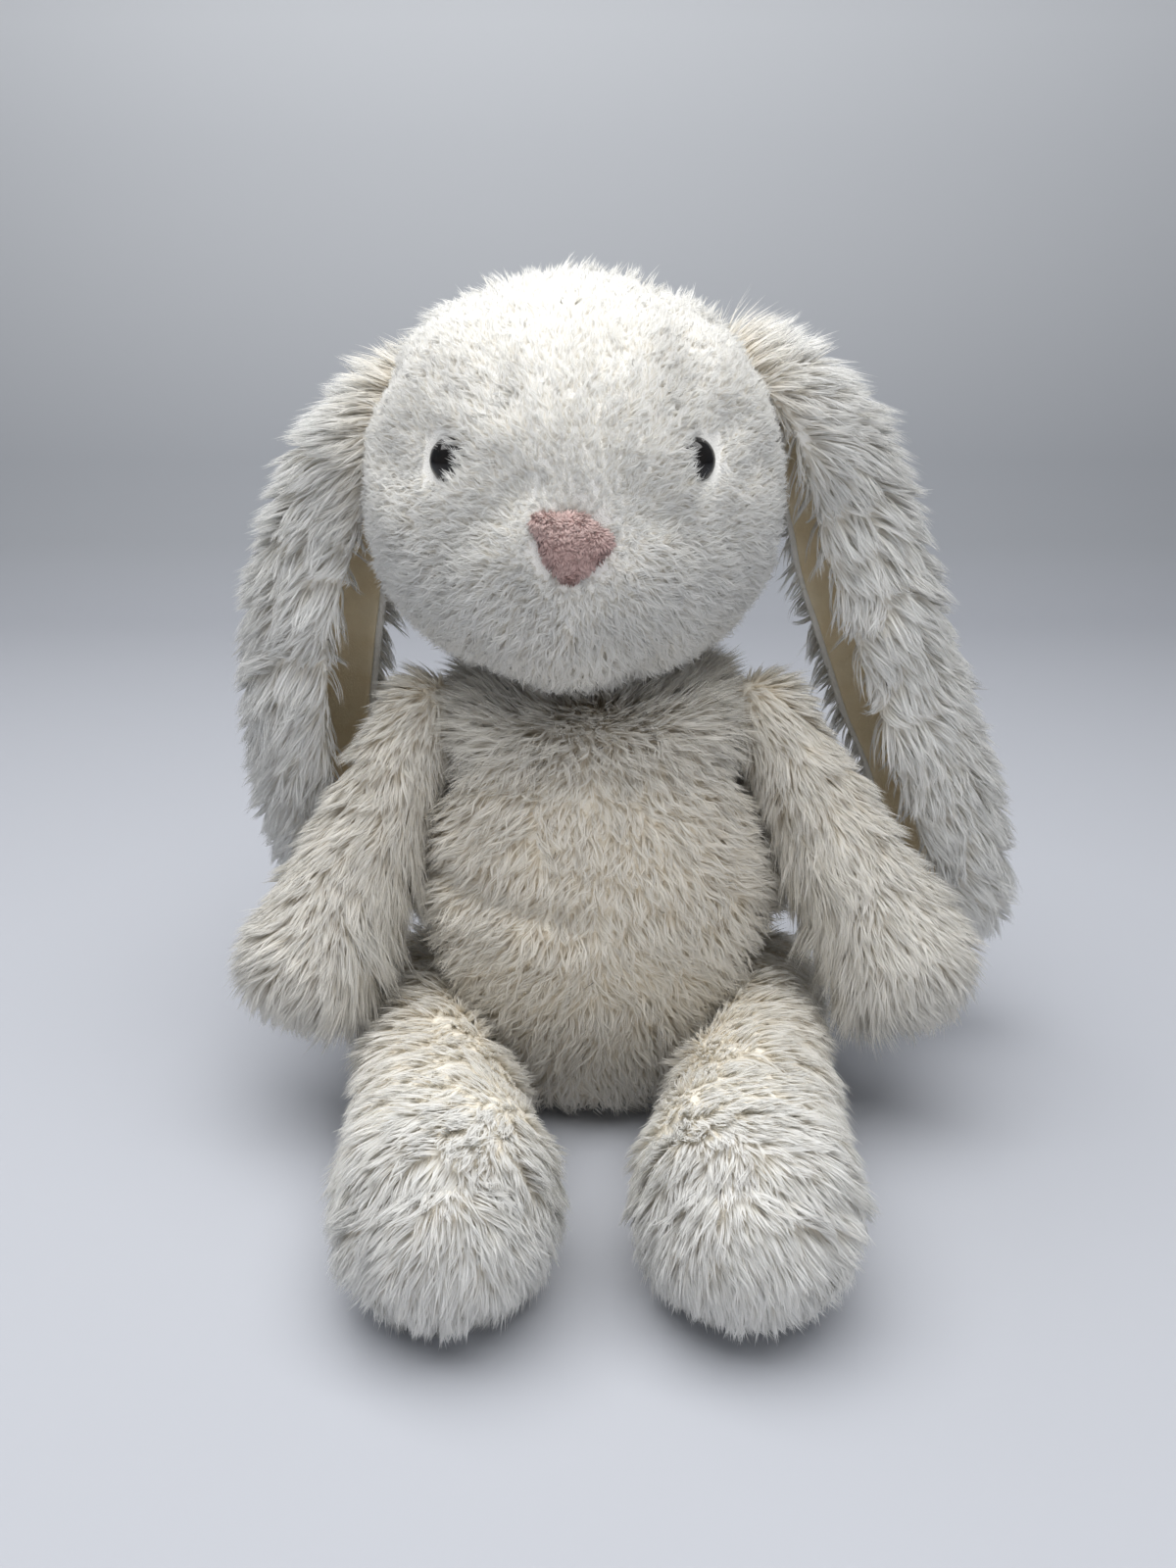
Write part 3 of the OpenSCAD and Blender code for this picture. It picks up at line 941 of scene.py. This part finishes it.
def ear(side):
    body = f"ear_{side}"
    lining_node = NODES[f"ear_{side}_lining"]
    near = BVHTree.FromPolygons([v.co for v in lining_node.data.vertices],
                                [p.vertices for p in lining_node.data.polygons])
    skin = ear_layer(f"ear_{side}_fur", f"ear_{side}_skin", BACKING_WHITE, body)
    ear_layer(f"ear_{side}_lining", f"ear_{side}_inner", LINING, body)

    def outside(p, n):
        away = np.zeros(len(p), bool)
        for index, (place, facing) in enumerate(zip(p, n)):
            found = near.find_nearest(Vector(place))[0]
            way = Vector(place) - found
            away[index] = way.length > 0.9 * MM and way.normalized().dot(Vector(facing)) > -0.1
        return away

    grow(f"ear_{side}_long_fur", skin, outside, body, ear_coat(side), 6400, EAR_SEED[side])


def ear_layer(node, name, material, body):
    """One side of an ear, rounded from its CAD strip."""
    shape = bmesh.new()
    shape.from_mesh(NODES[node].data)
    bmesh.ops.remove_doubles(shape, verts=shape.verts, dist=0.02 * MM)
    bmesh.ops.join_triangles(shape, faces=shape.faces, angle_face_threshold=0.7, angle_shape_threshold=0.7)
    mesh = bpy.data.meshes.new(name)
    shape.to_mesh(mesh)
    shape.free()
    obj = new_object(name, mesh)
    finer = obj.modifiers.new("finer", "SUBSURF")
    finer.levels = 2
    with_modifiers_applied(obj)
    co = coordinates(obj.data)
    put_coordinates(obj.data, co + drift(co, 30 * MM, 7) * 0.5 * MM)
    obj.data.shade_smooth()
    obj.data.materials.clear()
    obj.data.materials.append(material)
    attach(obj, body)
    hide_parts(node)
    return obj


def arm(side):
    body = f"arm_{side}"
    nodes = [f"arm_{side}_cover", f"arm_{side}_stuffing"]
    joint_x = abs(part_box(nodes[0])[0 if side == "left" else 1].x)

    def seams(p):
        return np.abs(p[:, 0]) < joint_x + CLOTH + 2 * MM

    skin = make_skin(f"arm_{side}_skin", nodes, body, BACKING_CREAM, 3.4 * MM, seams, 0.13)
    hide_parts(nodes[0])
    root, end = arm_line(side)
    fur = limb_coat(root, end, (0.38, 0.54), (11.0, 11.5, 8.0), (44, 18), 0.45)

    def outside_joint(p, n):
        return np.abs(p[:, 0]) > joint_x + 3.4 * MM

    grow(f"arm_{side}_fur", skin, outside_joint, body, fur, 6200, ARM_SEED[side])


def leg(side):
    body = f"leg_{side}"
    nodes = [f"leg_{side}_cover", f"leg_{side}_sole", f"leg_{side}_stuffing", f"foot_{side}_bead_bag"]
    root, end = leg_line(side)
    axis = unit(end - root)
    sole_seam = 0.6 * LEG_END_R
    ankle = -25 * MM

    def seams(p):
        return np.abs((p - end) @ axis - sole_seam) < 1.8 * MM

    def ankle_dent(co):
        return 1.4 * MM * np.exp(-(((co - end) @ axis - ankle) / (9 * MM)) ** 2)

    def on_foot(p, n):
        return (p - end) @ axis >= -4 * MM

    def on_leg(p, n):
        return ~on_foot(p, n)

    skin = make_skin(f"leg_{side}_skin", nodes, body, BACKING_CREAM, 4.0 * MM, seams, 0.14)
    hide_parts(nodes[0], nodes[1])
    press_in(skin, ankle_dent)
    fur = limb_coat(root, end, (0.50, 0.84), (10.5, 9.0, 0.0), (32, 14), 0.35, 0.9)
    grow(f"leg_{side}_fur", skin, on_leg, body, fur, 5600, LEG_SEED[side])
    grow(f"foot_{side}_fur", skin, on_foot, body, fur, 3600, LEG_SEED[side] + 10)


# The nose patch is a rounded shield: how far its sides are from its middle, and for each soft
# corner its turn in degrees from the viewer's right and how much further it reaches.
NOSE_SIDE = 7.8 * MM
NOSE_CORNERS = [(5, 2.6 * MM), (146, 4.2 * MM), (264, 1.7 * MM)]
NOSE_CORNER_WIDTH = 20


def nose_reach(angle):
    reach = NOSE_SIDE
    for turn, further in NOSE_CORNERS:
        apart = (math.degrees(angle) - turn + 180) % 360 - 180
        reach += further * math.exp(-(apart / NOSE_CORNER_WIDTH) ** 2)
    return reach


def nose_mesh(node, front_y):
    """A crowned patch on the face, in rings of points from its edge to its middle."""
    surface = BVHTree.FromPolygons([v.co for v in node.data.vertices],
                                   [p.vertices for p in node.data.polygons])
    rings = 14
    spokes = 48
    roll = 1.5 * MM
    crown = 0.9 * MM

    def depth(x, z):
        hit = surface.ray_cast(Vector((x, front_y - 50 * MM, z)), Vector((0, 1, 0)))[0]
        return hit.y if hit else surface.find_nearest(Vector((x, front_y, z)))[0].y

    shape = bmesh.new()
    rows = []
    for ring in range(1, rings + 1):
        share = ring / rings
        row = []
        for spoke in range(spokes):
            angle = 2 * math.pi * spoke / spokes
            reach = share * nose_reach(angle)
            x = NOSE_AT[0] + reach * math.cos(angle)
            z = NOSE_AT[2] + reach * math.sin(angle)
            out = roll * share ** 8 - crown * (1 - share ** 2)
            row.append(shape.verts.new((x, depth(x, z) + out, z)))
        rows.append(row)
    middle = shape.verts.new((NOSE_AT[0], depth(NOSE_AT[0], NOSE_AT[2]) - crown, NOSE_AT[2]))
    for spoke in range(spokes):
        after = (spoke + 1) % spokes
        shape.faces.new((middle, rows[0][spoke], rows[0][after]))
        for inner, outer in zip(rows, rows[1:]):
            shape.faces.new((inner[spoke], outer[spoke], outer[after], inner[after]))
    bmesh.ops.recalc_face_normals(shape, faces=shape.faces)
    mesh = bpy.data.meshes.new("nose_velvet")
    shape.to_mesh(mesh)
    shape.free()
    return mesh


def nose_coat():
    def lie(p, n):
        return np.tile(DOWN, (len(p), 1))

    def tone(p, n):
        return 0.35 + 0.5 * rise(p[:, 2], NOSE_AT[2] - 2 * MM, NOSE_AT[2] + 6 * MM)

    return coat(lambda p, n: np.full(len(p), 1.5 * MM), (70, 40), lie, tone, lock_width=0.7 * MM,
                hair_width=0.2 * MM, swirl=0.9, swirl_size=6 * MM, sunk=0.1 * MM)


def nose():
    """A velvet patch: a crowned shield with rolled edges, and a short pile on it."""
    obj = new_object("nose_velvet", nose_mesh(NODES["nose_patch"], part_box("nose_patch")[0].y))
    thick = obj.modifiers.new("thick", "SOLIDIFY")
    thick.thickness = 1.2 * MM
    with_modifiers_applied(obj)
    obj.data.shade_smooth()
    obj.data.materials.append(VELVET)
    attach(obj, "head")
    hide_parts("nose_patch")
    grow("nose_pile", obj, lambda p, n: n[:, 1] < -0.1, "head", nose_coat(), 2200, 900,
         VELVET_PILE)


def dress_inner_nodes():
    """The CAD nodes that stay get their own materials."""
    looks = {"stuffing": filling_look(), "bead_bag": bead_bag_look(), "eye_washer": washer_look(),
             "care_label": satin_look(), "neck_seam": thread_look(), "eye_left": eye_look()}
    looks["eye_right"] = looks["eye_left"]
    for name, node in NODES.items():
        for key, material in looks.items():
            if key in name:
                node.data.materials.clear()
                node.data.materials.append(material)


# ---------------------------------------------------------------- the scene

make_camera()
make_lights()
make_stage()
dress_inner_nodes()
torso()
tail()
head()
nose()
for each in SIDES:
    ear(each)
    arm(each)
    leg(each)
